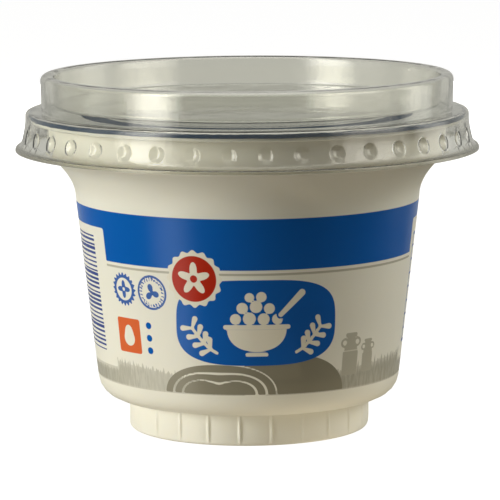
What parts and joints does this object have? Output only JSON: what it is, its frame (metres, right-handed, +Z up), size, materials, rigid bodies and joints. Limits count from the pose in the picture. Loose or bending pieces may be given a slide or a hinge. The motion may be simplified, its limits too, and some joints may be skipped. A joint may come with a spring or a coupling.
{
  "type": "shut cottage cheese pot",
  "caption": "Shut moulded plastic pot of cottage cheese with a flared neck and ribbed foot, a foil seal and a clear dimpled clip-on lid.",
  "frame": {"origin": "middle of the base, on the surface that the pot stands on", "axes": "+Z up along the pot's axis, the printed front faces -Y"},
  "size_m": [0.1004, 0.1004, 0.0772],
  "materials": {
    "tub_plastic": "satin moulded polypropylene, cream white with a blue and grey print",
    "seal_foil": "bright creased foil with a blue printed border",
    "lid_plastic": "clear glossy thermoformed sheet"
  },
  "bodies": {
    "root": {"tub": "tub_plastic", "foil_seal": "seal_foil", "lid": "lid_plastic"}
  },
  "joints": []
}
